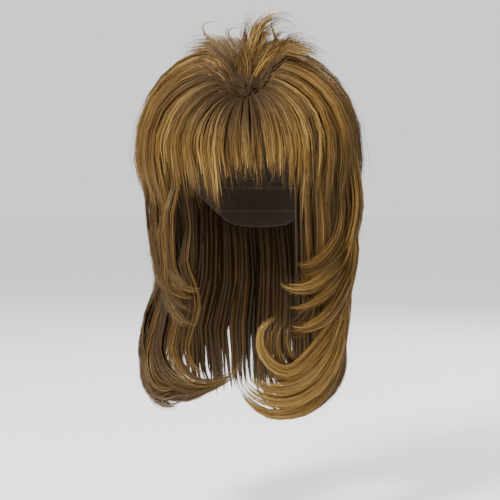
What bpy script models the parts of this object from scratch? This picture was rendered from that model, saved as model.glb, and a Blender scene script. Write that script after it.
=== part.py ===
"""Shaggy layered wig in its worn form.

A fitted cap carries a fringe, a short crown layer and three tiers of hair. Each tier is one wall of
locks that are joined near their roots and hang free below. The origin is the inside top of the cap, +Z is
up, the face opening looks along -Y and +X is the viewer's right. Angles run round the head from 0 at the
forehead, positive to the viewer's right, and lengths are in metres.
"""

import math

import bmesh
import bpy
from mathutils import Vector

# Cap, inside sizes
CAP_HALF_WIDTH = 0.076
CAP_FRONT = 0.097
CAP_BACK = 0.097
CAP_DOME = 0.105
CAP_WALL = 0.002
CAP_SQUARENESS = 2.3
NAPE_TUCK = 0.012
EDGE_WEFT_RISE = 0.014

# Hair locks: the edge lies inside a layer's surface and the ridge outside it
LOCK_EDGE = 0.004
LOCK_RIDGE = 0.005
LOCK_TIP = 0.0015
LOCK_WIDTH_SHARE = 0.96
TAPER = 2.6
ROOT_THIN = 0.4
CURL_RADIUS = 0.034

# Room between pieces
LAYER_AIR = 0.002
SEAT_GAP = 0.0008
SIDE_GAP = 0.0006
SLOPE_ROOM = 1.3
LAYER_STEP = LOCK_EDGE + LOCK_RIDGE + LAYER_AIR
ROOT_SEAT = LOCK_EDGE * ROOT_THIN + SEAT_GAP

# Outline of the hair; the whorl is where the crown hair starts
HAIR_LENGTH = 0.345
CROWN_LIFT = 0.033
BROW_DIP = 0.031
WHORL_FORWARD = 0.048
WHORL_SHARE = 0.10
LIFTED_SHARE = 0.46
DOME_SQUARENESS = 2.2
STAND_OUT = 0.040

# Angles at which the layers begin beside the face, and the span of one lock of the top layer
FRINGE_REACH = 43
MIDDLE_FRONT = 45
LOWER_FRONT = 44
LOCK_SPAN = (360 - 2 * FRINGE_REACH) / 16
BACK_CORNER = FRINGE_REACH + 5 * LOCK_SPAN
CROWN_FRONT = FRINGE_REACH + 2 * LOCK_SPAN

# Lower edge of the cap: angle from the forehead, depth as a share of the dome
CAP_EDGE = (
    ("forehead", 0, 0.43),
    ("front corner", 35, 0.46),
    ("temple", 62, 0.72),
    ("ear tab", 77, 1.00),
    ("above the ear", 100, 0.84),
    ("behind the ear", 128, 1.15),
    ("nape corner", 155, 1.42),
    ("nape", 180, 1.45),
)

# Lower layer's outline: depth as a share of the hair's length, then half sizes as shares of the cap's
COLUMN = (
    ("widest", 0.240, 1.160, 1.185, 0.93, 1.135),
    ("ear", 0.310, 1.130, 1.185, 0.91, 1.115),
    ("mouth", 0.405, 1.050, 1.160, 0.87, 1.030),
    ("chin", 0.490, 1.015, 1.130, 0.83, 0.970),
    ("waist", 0.580, 1.040, 1.160, 0.81, 0.950),
    ("throat", 0.665, 1.130, 1.250, 0.84, 0.970),
    ("bulge", 0.760, 1.355, 1.300, 0.89, 1.050),
    ("curls", 0.840, 1.340, 1.290, 0.91, 1.110),
    ("ends", 0.940, 1.180, 1.180, 0.88, 1.110),
)

# Locks: depth where the end starts to turn as a share of the hair's length, radius of the turn as a share
# of CURL_RADIUS, turn in degrees, and veer, which is 0 for a flick straight out and 180 for one straight in
FRINGE_LOCKS = (
    ("temple, left", 0.285, 0.7, 25, 60),
    ("brow, left", 0.290, 0.9, 25, 80),
    ("outer eye, left", 0.300, 0.9, 20, 90),
    ("long point", 0.312, 0.9, 20, 150),
    ("bridge", 0.275, 0.8, 25, 60),
    ("inner eye, right", 0.262, 0.8, 25, 60),
    ("eye, right", 0.268, 0.8, 25, 70),
    ("outer eye, right", 0.275, 0.8, 25, 80),
    ("brow, right", 0.290, 0.8, 25, 60),
    ("temple, right", 0.320, 0.8, 20, 40),
)
TOP_LEFT_LOCKS = (
    ("cheek", 0.320, 1.0, 25, 60),
    ("ear front", 0.335, 0.9, 30, 30),
    ("ear", 0.345, 0.8, 30, 10),
    ("ear back", 0.330, 0.8, 40, 0),
    ("back corner", 0.345, 0.8, 45, 0),
)
TOP_RIGHT_LOCKS = (
    ("cheek", 0.315, 0.9, 35, 60),
    ("ear front", 0.310, 0.8, 55, 20),
    ("ear", 0.310, 0.7, 65, 0),
    ("ear back", 0.325, 0.8, 50, 0),
    ("back corner", 0.340, 0.8, 45, 0),
)
TOP_BACK_LOCKS = (
    ("first", 0.330, 0.8, 50, 0),
    ("second", 0.350, 0.8, 45, 10),
    ("third", 0.335, 0.9, 50, -10),
    ("fourth", 0.345, 0.8, 50, 10),
    ("fifth", 0.330, 0.9, 45, -10),
    ("sixth", 0.345, 0.8, 50, 0),
)
MIDDLE_LEFT_LOCKS = (
    ("flip to the neck", 0.550, 1.10, 85, 88),
    ("lower flip", 0.595, 0.80, 80, 86),
    ("shoulder flick", 0.490, 0.75, 60, 10),
    ("side flick", 0.470, 0.80, 55, 0),
    ("back corner", 0.490, 0.80, 50, 0),
)
MIDDLE_RIGHT_LOCKS = (
    ("flip to the neck", 0.515, 1.00, 105, 92),
    ("lower flip", 0.570, 0.90, 85, 86),
    ("jaw flick", 0.375, 1.00, 75, 10),
    ("side flick", 0.390, 1.00, 70, 0),
    ("back corner", 0.450, 0.85, 50, 0),
)
MIDDLE_BACK_LOCKS = (
    ("first", 0.480, 0.9, 50, 0),
    ("second", 0.510, 0.8, 55, 10),
    ("third", 0.500, 0.9, 50, -10),
    ("fourth", 0.520, 0.8, 50, 10),
    ("fifth", 0.490, 0.9, 55, -10),
    ("sixth", 0.510, 0.8, 50, 0),
)
LOWER_LEFT_LOCKS = (
    ("inner curl", 0.775, 0.85, 130, 105),
    ("middle curl", 0.795, 1.20, 145, 118),
    ("outer curl", 0.800, 1.45, 155, 130),
    ("shoulder curl", 0.815, 1.30, 95, 150),
    ("back corner", 0.870, 1.10, 60, 170),
)
LOWER_RIGHT_LOCKS = (
    ("short curl", 0.655, 0.75, 120, 105),
    ("ring curl", 0.775, 1.00, 232, 120),
    ("long curl", 0.855, 1.58, 200, 136),
    ("shoulder curl", 0.865, 1.60, 100, 152),
    ("back corner", 0.880, 1.20, 60, 170),
)
LOWER_BACK_LOCKS = (
    ("first", 0.890, 1.1, 45, 180),
    ("second", 0.930, 0.9, 45, 0),
    ("third", 0.905, 1.1, 40, 180),
    ("centre", 0.950, 0.9, 45, 0),
    ("fifth", 0.910, 1.1, 40, 180),
    ("sixth", 0.935, 0.9, 45, 0),
    ("seventh", 0.890, 1.1, 45, 180),
)

# Crown locks: reach over the dome as a share of the way to its rim, radius and degrees of the upward turn
CROWN_LOCKS = (
    ("front right", 0.36, 0.9, 14),
    ("right", 0.38, 0.9, 16),
    ("right corner", 0.38, 0.8, 30),
    ("back right", 0.38, 0.8, 60),
    ("lifted lock", 0.34, 1.1, 95),
    ("behind the tuft", 0.40, 0.8, 50),
    ("centre", 0.36, 0.9, 80),
    ("back left", 0.38, 0.7, 45),
    ("left corner", 0.38, 0.8, 25),
    ("left", 0.36, 0.8, 14),
    ("left side", 0.36, 0.8, 12),
    ("front left", 0.36, 0.8, 12),
)


def between(x, table, column):
    """Straight-line reading of a table, whose second column holds x."""
    rows = [(row[1], row[column]) for row in table]
    if x <= rows[0][0]:
        return rows[0][1]
    for (x0, y0), (x1, y1) in zip(rows, rows[1:]):
        if x <= x1:
            return y0 + (y1 - y0) * (x - x0) / (x1 - x0)
    return rows[-1][1]


def ease(x):
    x = min(max(x, 0.0), 1.0)
    return x * x * (3 - 2 * x)


def ring(angle, right, left, front, back, z):
    """Point at an angle on a ring whose four half sizes differ."""
    across, along = math.sin(angle), -math.cos(angle)
    return Vector((across * (right if across > 0 else left), along * (back if along > 0 else front), z))


def cap_edge(angle):
    """Height of the cap's lower edge, with rounded corners."""
    degrees = abs(math.degrees(math.remainder(angle, math.tau)))
    spread = 6
    near = [between(abs(degrees + step), CAP_EDGE, 2) for step in (-spread, 0, spread)]
    return -CAP_DOME * (near[0] + 2 * near[1] + near[2]) / 4


def cap_scale(z):
    """Width of the cap at a height, as a share of its widest ring."""
    rise = min(max((z + CAP_DOME) / (CAP_DOME + CAP_WALL), 0.0), 1.0)
    return (1 - rise**CAP_SQUARENESS) ** (1 / CAP_SQUARENESS)


def cap_point(angle, z):
    """Point on the outside of the cap at an angle and height."""
    share = cap_scale(z)
    tuck = NAPE_TUCK * ease((-CAP_DOME - z) / (CAP_DOME / 2))
    wide = (CAP_HALF_WIDTH + CAP_WALL) * share
    return ring(angle, wide, wide, (CAP_FRONT + CAP_WALL) * share, (CAP_BACK + CAP_WALL) * share - tuck, z)


def cap_seat(angle, z):
    """Place of a weft's root just off the cap, square to its surface."""
    small = 0.01
    across = cap_point(angle + small, z) - cap_point(angle - small, z)
    down = cap_point(angle, z - CAP_WALL) - cap_point(angle, z + CAP_WALL)
    return cap_point(angle, z) + down.cross(across).normalized() * ROOT_SEAT


def cap_height(x, y):
    """Height of the outside of the cap over a point of its plan."""
    deep = (CAP_FRONT if y < 0 else CAP_BACK) + CAP_WALL
    out = min(math.hypot(x / (CAP_HALF_WIDTH + CAP_WALL), y / deep), 0.999)
    return (CAP_DOME + CAP_WALL) * (1 - out**CAP_SQUARENESS) ** (1 / CAP_SQUARENESS) - CAP_DOME


def column_sizes(z, stand_off):
    """Half sizes of a hair layer at a height: right, left, front, back."""
    depth = -z / HAIR_LENGTH
    return (
        between(depth, COLUMN, 3) * CAP_HALF_WIDTH + stand_off,
        between(depth, COLUMN, 2) * CAP_HALF_WIDTH + stand_off,
        between(depth, COLUMN, 4) * CAP_FRONT + stand_off,
        between(depth, COLUMN, 5) * CAP_BACK + stand_off,
    )


WIDEST_Z = -COLUMN[0][1] * HAIR_LENGTH


def column_point(angle, z, stand_off):
    return ring(angle, *column_sizes(z, stand_off), z)


def dome_point(angle, way, stand_off):
    """Point on the crown, from the whorl (way 0) over the dome to its rim (way 1)."""
    share = math.sin(math.pi / 2 * way)
    right, left, front, back = column_sizes(WIDEST_Z, stand_off)
    rim = ring(angle, right, left, front, back, 0)
    plan = Vector((0, -WHORL_FORWARD, 0)).lerp(rim, share)
    across, along = (right if plan.x > 0 else left), (back if plan.y > 0 else front)
    out = min(math.hypot(plan.x / across, plan.y / along), 1)
    rise = CROWN_LIFT - WIDEST_Z - BROW_DIP * max(math.cos(angle), 0) ** 2
    top = WIDEST_Z + rise * (1 - out**DOME_SQUARENESS) ** (1 / DOME_SQUARENESS)
    seat = cap_height(plan.x, plan.y) + (LOCK_EDGE * root_share(way) + SEAT_GAP) * SLOPE_ROOM
    lifted = seat + (top - seat) * ease((share - WHORL_SHARE) / (LIFTED_SHARE - WHORL_SHARE))
    return Vector((plan.x, plan.y, max(lifted, seat) if out < 0.8 else top))


def dome_layer(stand_off):
    """Surface of a layer that grows from the whorl; past way 1 it hangs, one unit a metre."""

    def surface(angle, way):
        if way <= 1:
            return dome_point(angle, way, stand_off)
        return column_point(angle, WIDEST_Z - (way - 1), stand_off)

    return surface


def seated_on(surface):
    """Surface of a layer that lies on the ridges of another one."""

    def above(angle, way):
        at, _, out = frame(surface, angle, way)
        return at + out * ((LOCK_EDGE + LOCK_RIDGE) * root_share(way) + SEAT_GAP)

    return above


def weft_layer(root_share, stand_off):
    """Surface of a layer sewn to the cap's side at a share of the edge weft's depth."""

    def surface(angle, way):
        root = (cap_edge(angle) + EDGE_WEFT_RISE) * root_share
        full = min(root - STAND_OUT, WIDEST_Z)
        if way >= 1:
            return column_point(angle, full - (way - 1), stand_off)
        z = root + (full - root) * way
        return cap_seat(angle, z).lerp(column_point(angle, z, stand_off), ease(way) ** 0.6)

    return surface


def way_at(surface, angle, z):
    """How far along a hanging surface a height lies."""
    return 1 + surface(angle, 1).z - z


def frame(surface, angle, way):
    """Point, sideways direction and outward direction of a layer's surface."""
    small = 0.01
    at = surface(angle, way)
    across = (surface(angle + small, way) - surface(angle - small, way)).normalized()
    down = surface(angle, way + small) - surface(angle, max(way - small, 0))
    return at, across, across.cross(down).normalized() * -1


def root_share(way):
    """Thickness of a lock near its root, as a share of its full thickness."""
    return ROOT_THIN + (1 - ROOT_THIN) * ease(way / 0.5)


def free_line(surface, angle, start, lock):
    """Centre line of a lock below its split: it follows the surface and then turns on an arc."""
    if len(lock) == 4:
        turn_way, heading = lock[1], Vector((0, 0, 1))
    else:
        turn_way = way_at(surface, angle, -lock[1] * HAIR_LENGTH)
        off_front = math.remainder(angle, math.tau)
        facing = (abs(off_front) - math.radians(lock[4])) * math.copysign(1, off_front)
        heading = Vector((math.sin(facing), -math.cos(facing), 0))
    radius, turn = lock[2] * CURL_RADIUS, math.radians(lock[3])
    points = [surface(angle, start + (turn_way - start) * i / 3) for i in (1, 2, 3)]
    end = points[-1]
    along = (end - points[-2]).normalized()
    side = (heading - along * heading.dot(along)).normalized()
    steps = max(3, round(lock[3] / 24))
    for i in range(1, steps + 1):
        a = turn * i / steps
        points.append(end + radius * (side * (1 - math.cos(a)) + along * math.sin(a)))
    return points


def free_sections(bm, surface, angle, start, half, lock):
    """Loops of six vertices round the free part of a lock, which thins to its tip."""
    at, across, out = frame(surface, angle, start)
    points = [at, *free_line(surface, angle, start, lock)]
    last = len(points) - 1
    loops = []
    for k in range(1, last + 1):
        along = (points[min(k + 1, last)] - points[k - 1]).normalized()
        across = (across - along * across.dot(along)).normalized()
        out = along.cross(across)
        left = 1 - (k / last) ** TAPER
        wide, edge, ridge = (
            LOCK_TIP + (full - LOCK_TIP) * left for full in (half * LOCK_WIDTH_SHARE, LOCK_EDGE, LOCK_RIDGE)
        )
        at = points[k]
        corners = (
            at - across * wide,
            at + out * ridge,
            at + across * wide,
            at + across * wide - out * edge,
            at - out * edge,
            at - across * wide - out * edge,
        )
        loops.append([bm.verts.new(corner) for corner in corners])
    return loops


def layer(name, surface, span, locks, attached, split):
    """One node: a row of locks across the span of degrees, rising in angle.

    The locks are joined down to the last attached way or, where a split depth is given, down to it.
    """
    bm = bmesh.new()
    count = len(locks)
    first, last = (math.radians(a) for a in span)
    step = (last - first) / count

    def row_ways(angle):
        if split is None:
            return attached
        depth, rows = split
        last_way = way_at(surface, angle, -depth * HAIR_LENGTH)
        return (*attached, *(1 + (last_way - 1) * j / rows for j in range(1, rows + 1)))

    def edge_verts(i):
        """Outer and inner vertices down the boundary between two locks."""
        angle = first + step * i
        shift = {0: SIDE_GAP / 2, count: -SIDE_GAP / 2}.get(i, 0)
        column = []
        for way in row_ways(angle):
            at, across, out = frame(surface, angle, way)
            at = at + across * shift
            column.append((bm.verts.new(at), bm.verts.new(at - out * LOCK_EDGE * root_share(way))))
        return column

    edges = [edge_verts(i) for i in range(count + 1)]
    for i, lock in enumerate(locks):
        angle = first + step * (i + 0.5)
        ways = row_ways(angle)
        loops = []
        for j, way in enumerate(ways):
            at, across, out = frame(surface, angle, way)
            ridge = bm.verts.new(at + out * LOCK_RIDGE * root_share(way))
            under = bm.verts.new(at - out * LOCK_EDGE * root_share(way))
            (outer_left, inner_left), (outer_right, inner_right) = edges[i][j], edges[i + 1][j]
            loops.append((outer_left, ridge, outer_right, inner_right, under, inner_left))
        half = (loops[-1][2].co - loops[-1][0].co).length / 2
        loops += free_sections(bm, surface, angle, ways[-1], half, lock)

        for j, (a, b) in enumerate(zip(loops, loops[1:])):
            free = j + 1 >= len(ways)
            for k in (0, 1, 3, 4):
                bm.faces.new((a[k], b[k], b[k + 1], a[k + 1]))
            if free or i == count - 1:
                bm.faces.new((a[2], b[2], b[3], a[3]))
            if free or i == 0:
                bm.faces.new((a[5], b[5], b[0], a[0]))
        root, tip = loops[0], loops[-1]
        bm.faces.new((root[0], root[1], root[4], root[5]))
        bm.faces.new((root[1], root[2], root[3], root[4]))
        bm.faces.new((tip[5], tip[4], tip[1], tip[0]))
        bm.faces.new((tip[4], tip[3], tip[2], tip[1]))
    return finish(name, bm)


def finish(name, bm):
    """Object from a bmesh."""
    mesh = bpy.data.meshes.new(name)
    bm.to_mesh(mesh)
    bm.free()
    mesh.shade_smooth()
    mesh.set_sharp_from_angle(angle=math.radians(50))
    obj = bpy.data.objects.new(name, mesh)
    bpy.context.collection.objects.link(obj)
    return obj


def paint(obj, colour, roughness):
    material = bpy.data.materials.new(obj.name)
    material.use_nodes = True
    shader = material.node_tree.nodes["Principled BSDF"]
    shader.inputs["Base Color"].default_value = (*colour, 1)
    shader.inputs["Roughness"].default_value = roughness
    shader.inputs["Metallic"].default_value = 0
    obj.data.materials.append(material)


def wig_cap():
    """The fitted cap: its outer skin from the top to the cut edge, with the wall grown inwards."""
    around, down = 40, 8
    bm = bmesh.new()
    crown = bm.verts.new((0, 0, CAP_WALL))
    rings = []
    for j in range(1, down + 1):
        row = []
        for i in range(around):
            angle = math.tau * i / around
            depth = -cap_edge(angle) / CAP_DOME
            dome = math.acos(max(1 - depth, 0) ** (CAP_SQUARENESS / 2))
            arc = dome + max(depth - 1, 0)
            reach = arc * j / down
            if reach <= math.pi / 2:
                z = (CAP_DOME + CAP_WALL) * math.cos(reach) ** (2 / CAP_SQUARENESS) - CAP_DOME
            else:
                z = -CAP_DOME * (1 + reach - math.pi / 2)
            row.append(bm.verts.new(cap_point(angle, z)))
        rings.append(row)
    for i in range(around):
        n = (i + 1) % around
        bm.faces.new((crown, rings[0][i], rings[0][n]))
        for a, b in zip(rings, rings[1:]):
            bm.faces.new((a[i], b[i], b[n], a[n]))
    obj = finish("wig_cap", bm)
    wall = obj.modifiers.new("Wall", "SOLIDIFY")
    wall.thickness = CAP_WALL
    wall.offset = -1
    wall.use_even_offset = True
    return obj


for old in list(bpy.data.objects):
    bpy.data.objects.remove(old)

TOP = dome_layer(2 * LAYER_STEP)
CROWN = seated_on(TOP)
MIDDLE = weft_layer(0.5, LAYER_STEP)
LOWER = weft_layer(1.0, 0.0)

# Rows of a layer, as ways along its surface
DOME_WAYS = (0.065, 0.15, 0.26, 0.40, 0.56, 0.74, 1.0)
WEFT_WAYS = (0.0, 0.08, 0.25, 0.5, 0.75, 1.0)

# Span in degrees, locks, rows, and the depth and rows down to where the locks part
LEFT, RIGHT, BACK = -BACK_CORNER, BACK_CORNER, 360 - BACK_CORNER
LAYERS = (
    ("fringe", TOP, (-FRINGE_REACH, FRINGE_REACH), FRINGE_LOCKS, DOME_WAYS[:6], None),
    ("top_layer_left", TOP, (LEFT, -FRINGE_REACH), TOP_LEFT_LOCKS[::-1], DOME_WAYS, None),
    ("top_layer_right", TOP, (FRINGE_REACH, RIGHT), TOP_RIGHT_LOCKS, DOME_WAYS, None),
    ("top_layer_back", TOP, (RIGHT, BACK), TOP_BACK_LOCKS, DOME_WAYS, None),
    ("crown_layer", CROWN, (CROWN_FRONT, 360 - CROWN_FRONT), CROWN_LOCKS, DOME_WAYS[:3], None),
    ("middle_layer_left", MIDDLE, (LEFT, -MIDDLE_FRONT), MIDDLE_LEFT_LOCKS[::-1], WEFT_WAYS, (0.375, 2)),
    ("middle_layer_right", MIDDLE, (MIDDLE_FRONT, RIGHT), MIDDLE_RIGHT_LOCKS, WEFT_WAYS, (0.355, 2)),
    ("middle_layer_back", MIDDLE, (RIGHT, BACK), MIDDLE_BACK_LOCKS, WEFT_WAYS, (0.380, 1)),
    ("lower_layer_left", LOWER, (LEFT, -LOWER_FRONT), LOWER_LEFT_LOCKS[::-1], WEFT_WAYS, (0.580, 4)),
    ("lower_layer_right", LOWER, (LOWER_FRONT, RIGHT), LOWER_RIGHT_LOCKS, WEFT_WAYS, (0.580, 4)),
    ("lower_layer_back", LOWER, (RIGHT, BACK), LOWER_BACK_LOCKS, WEFT_WAYS, (0.620, 2)),
)

CAP_BROWN = (0.045, 0.025, 0.012)
HAIR_BROWN = (0.27, 0.135, 0.045)

paint(wig_cap(), CAP_BROWN, 0.8)
for name, surface, span, locks, ways, split in LAYERS:
    paint(layer(name, surface, span, locks, ways, split), HAIR_BROWN, 0.45)
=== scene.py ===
"""Shaggy layered wig, seen as it is worn, with no head in it.

The wig is put together from the cap outwards: the cap, the lower layer, the middle layer, the top layer,
the fringe and the crown. Lengths are in metres, and the points of listed locks in millimetres. Angles run
round the head from 0 at the forehead, positive to the viewer's right. Every hair piece is made of fibre
bundles and loose fibres that follow guide lines.
"""

import math
import random
from functools import partial

import bpy
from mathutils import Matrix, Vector


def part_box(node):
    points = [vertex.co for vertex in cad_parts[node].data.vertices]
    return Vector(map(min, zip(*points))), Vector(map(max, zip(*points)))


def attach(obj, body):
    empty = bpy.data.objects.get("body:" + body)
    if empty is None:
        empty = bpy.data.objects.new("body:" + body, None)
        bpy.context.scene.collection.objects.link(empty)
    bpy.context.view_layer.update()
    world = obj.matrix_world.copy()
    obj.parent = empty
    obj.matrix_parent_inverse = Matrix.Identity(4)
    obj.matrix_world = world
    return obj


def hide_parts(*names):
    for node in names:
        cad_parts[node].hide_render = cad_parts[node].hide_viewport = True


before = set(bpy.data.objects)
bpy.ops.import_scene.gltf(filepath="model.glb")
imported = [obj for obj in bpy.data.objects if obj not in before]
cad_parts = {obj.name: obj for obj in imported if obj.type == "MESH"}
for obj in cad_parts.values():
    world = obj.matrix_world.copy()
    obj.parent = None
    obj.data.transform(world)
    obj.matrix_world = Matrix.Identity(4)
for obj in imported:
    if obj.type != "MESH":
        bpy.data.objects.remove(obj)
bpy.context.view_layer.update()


# Wig cap
# The fitted base that the hair is sewn to: dark stretch net, cut with ear tabs and a deep nape, and sewn
# round its cut edge with a soft binding. Rows of machine stitching run round it where the wefts sit.
CAP_LOW, CAP_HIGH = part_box("wig_cap")
CAP_WALL = 0.002
CAP_HALF_WIDTH = (CAP_HIGH[0] - CAP_LOW[0]) / 2 - CAP_WALL
CAP_FRONT = -CAP_LOW[1] - CAP_WALL
CAP_BACK = CAP_HIGH[1] - CAP_WALL
CAP_DOME = 0.105
CAP_SQUARENESS = 2.3
NAPE_TUCK = 0.012
# Each point of the cut edge: name, degrees from the forehead, depth as a share of the dome's height.
CAP_EDGE = (
    ("forehead", 0, 0.43),
    ("front corner", 35, 0.46),
    ("temple", 62, 0.72),
    ("ear tab", 77, 1.00),
    ("above the ear", 100, 0.84),
    ("behind the ear", 128, 1.15),
    ("nape corner", 155, 1.42),
    ("nape", 180, 1.45),
)
NET_CORDS = 620.0
NET_COLOURS = ((0.022, 0.014, 0.009, 1), (0.085, 0.055, 0.033, 1))
STITCH_ROWS = 9.0
STITCH_ROW_WIDTH = 0.05
STITCHES_ROUND = 900.0
THREAD_COLOUR = (0.12, 0.07, 0.035, 1)


def between(x, table, column):
    """Straight-line reading of a table, whose second column holds x."""
    rows = [(row[1], row[column]) for row in table]
    if x <= rows[0][0]:
        return rows[0][1]
    for (x0, y0), (x1, y1) in zip(rows, rows[1:]):
        if x <= x1:
            return y0 + (y1 - y0) * (x - x0) / (x1 - x0)
    return rows[-1][1]


def ease(x):
    """Smooth step from 0 to 1."""
    x = min(max(x, 0.0), 1.0)
    return x * x * (3 - 2 * x)


def ring(angle, right, left, front, back, z):
    """Point at an angle on a ring whose four half sizes differ."""
    across, along = math.sin(angle), -math.cos(angle)
    return Vector((across * (right if across > 0 else left), along * (back if along > 0 else front), z))


def cap_edge(angle):
    """Height of the cap's cut edge."""
    degrees = abs(math.degrees(math.remainder(angle, math.tau)))
    near = [between(abs(degrees + step), CAP_EDGE, 2) for step in (-6, 0, 6)]
    return -CAP_DOME * (near[0] + 2 * near[1] + near[2]) / 4


def cap_scale(z):
    """Share of the cap's widest plan that it has at a height."""
    rise = min(max((z + CAP_DOME) / (CAP_DOME + CAP_WALL), 0.0), 1.0)
    return (1 - rise**CAP_SQUARENESS) ** (1 / CAP_SQUARENESS)


def cap_point(angle, z):
    """Point on the outside of the cap."""
    share = cap_scale(z)
    tuck = NAPE_TUCK * ease((-CAP_DOME - z) / (CAP_DOME / 2))
    wide = (CAP_HALF_WIDTH + CAP_WALL) * share
    return ring(angle, wide, wide, (CAP_FRONT + CAP_WALL) * share, (CAP_BACK + CAP_WALL) * share - tuck, z)


def add(tree, kind, sockets=None, **settings):
    """A node with its settings made and its sockets set or joined."""
    made = tree.nodes.new(kind)
    for name, value in settings.items():
        setattr(made, name, value)
    for key, value in (sockets or {}).items():
        if isinstance(value, bpy.types.NodeSocket):
            tree.links.new(value, made.inputs[key])
        else:
            made.inputs[key].default_value = value
    return made


def sums(tree, operation, *values):
    """Result of a maths node."""
    return add(tree, "ShaderNodeMath", dict(enumerate(values)), operation=operation).outputs[0]


def plain_sums(tree):
    """The four commonest maths nodes of a tree, under short names."""
    return (partial(sums, tree, kind) for kind in ("ADD", "SUBTRACT", "MULTIPLY", "POWER"))


def mesh_object(name, vertices, faces, material):
    """A smooth mesh in the scene, with its material."""
    mesh = bpy.data.meshes.new(name)
    mesh.from_pydata(vertices, [], faces)
    mesh.shade_smooth()
    mesh.materials.append(material)
    piece = bpy.data.objects.new(name, mesh)
    bpy.context.collection.objects.link(piece)
    return piece


def cap_net():
    """Dark stretch net: a fine diamond mesh, with rows of paler stitches round the cap."""
    material = bpy.data.materials.new("cap net")
    material.use_nodes = True
    tree = material.node_tree
    plus, _, times, _ = plain_sums(tree)
    shader = tree.nodes["Principled BSDF"]
    place = add(tree, "ShaderNodeUVMap", uv_map="OFBake").outputs[0]
    part = add(tree, "ShaderNodeSeparateXYZ", {0: place})
    cords = []
    for slant in ("ADD", "SUBTRACT"):
        way = sums(tree, slant, part.outputs[0], part.outputs[1])
        wave = sums(tree, "SINE", times(way, NET_CORDS))
        cords.append(sums(tree, "SMOOTH_MAX", wave, 0.0, 0.4))
    net = sums(tree, "MAXIMUM", *cords)
    row = sums(tree, "PINGPONG", times(part.outputs[1], STITCH_ROWS), 0.5)
    seam = sums(tree, "LESS_THAN", row, STITCH_ROW_WIDTH)
    dash = sums(tree, "SINE", times(part.outputs[0], STITCHES_ROUND))
    sewn = times(seam, sums(tree, "GREATER_THAN", dash, -0.2))
    ramp = add(tree, "ShaderNodeValToRGB", {0: net})
    for stop, colour in zip(ramp.color_ramp.elements, NET_COLOURS):
        stop.color = colour
    mixed = add(tree, "ShaderNodeMix", {0: sewn, 6: ramp.outputs[0], 7: THREAD_COLOUR}, data_type="RGBA")
    height = plus(net, times(seam, 2.0))
    bump = add(tree, "ShaderNodeBump", {"Strength": 0.5, "Distance": 0.0006, "Height": height})
    tree.links.new(mixed.outputs[2], shader.inputs["Base Color"])
    tree.links.new(bump.outputs[0], shader.inputs["Normal"])
    shader.inputs["Roughness"].default_value = 0.85
    shader.inputs["Sheen Weight"].default_value = 0.25
    return material


def make_cap():
    """Outer skin, rolled edge and inner skin of the cap, in one closed mesh."""
    around, down, roll = 96, 24, 6
    roll_reach = 0.35
    vertices, faces, marks = [], [], []

    def skin_row(j, inset):
        """Ring of points at a share of the way from the crown to the cut edge."""
        for i in range(around):
            angle = math.tau * i / around
            depth = -cap_edge(angle) / CAP_DOME
            arc = math.acos(max(1 - depth, 0) ** (CAP_SQUARENESS / 2)) + max(depth - 1, 0)
            reach = max(arc * j / down, 0.004)
            if reach <= math.pi / 2:
                z = (CAP_DOME + CAP_WALL) * math.cos(reach) ** (2 / CAP_SQUARENESS) - CAP_DOME
            else:
                z = -CAP_DOME * (1 + reach - math.pi / 2)
            at = cap_point(angle, z)
            inward = Vector((-at.x, -at.y, -max(z + CAP_DOME, 0) * 0.6)).normalized()
            vertices.append(at + inward * inset)
            marks.append((i / around, 0.02 + 0.96 * reach / (math.pi / 2 + 0.5)))

    for j in range(down + 1):
        skin_row(j, 0.0)
    for k in range(1, roll):
        turn = math.pi * k / roll
        skin_row(down + roll_reach * math.sin(turn), CAP_WALL * 0.5 * (1 - math.cos(turn)))
    for j in range(down, -1, -1):
        skin_row(j, CAP_WALL)
    rows = len(vertices) // around
    for j in range(rows - 1):
        for i in range(around):
            n = (i + 1) % around
            a, b = j * around, (j + 1) * around
            faces.append((a + i, b + i, b + n, a + n))
    faces.append(tuple(range(around)))
    faces.append(tuple((rows - 1) * around + i for i in reversed(range(around))))
    cap = mesh_object("cap", vertices, faces, cap_net())
    layer = cap.data.uv_layers.new(name="OFBake")
    for face in cap.data.polygons:
        ends = [marks[cap.data.loops[k].vertex_index] for k in face.loop_indices]
        seam = max(u for u, _ in ends) - min(u for u, _ in ends) > 0.5 and len(ends) == 4
        for k, (u, v) in zip(face.loop_indices, ends):
            layer.data[k].uv = (u + 1.0 if seam and u < 0.5 else u, v)
    return cap


cap = make_cap()
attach(cap, "root")
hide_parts("wig_cap")


# Lower layer
# The longest hair, sewn in wefts round the cap's edge and set in large turned curls at the front. The
# fibre is fine, smooth synthetic hair, darker at the root and golden towards the ends.
HAIR_LENGTH = 0.345
LOCK_EDGE = 0.004
LOCK_RIDGE = 0.005
LOCK_TIP = 0.0015
LAYER_GAP = 0.0008
TAPER = 2.6
ROOT_THIN = 0.4
CURL_RADIUS = 0.034
LAYER_STEP = 0.011
ROOT_SEAT = LOCK_EDGE * ROOT_THIN + LAYER_GAP
EDGE_WEFT_RISE = 0.014
STAND_OUT = 0.040
BUNDLE_THICK = 0.0011
BUNDLE_TIP_THICK = 0.0003
BUNDLE_TIP_WIDE = 0.0006
WAVE_PITCH = 0.026
WAVE_FULL_AT = 0.10
UNDERSIDE_SHADE = 0.20
OVERHANGING_SHARE = 0.55
STEP = 0.01
FRINGE_REACH = 43
MIDDLE_FRONT = 45
LOWER_FRONT = 44
LOCK_SPAN = (360 - 2 * FRINGE_REACH) / 16
BACK_CORNER = FRINGE_REACH + 5 * LOCK_SPAN
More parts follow.
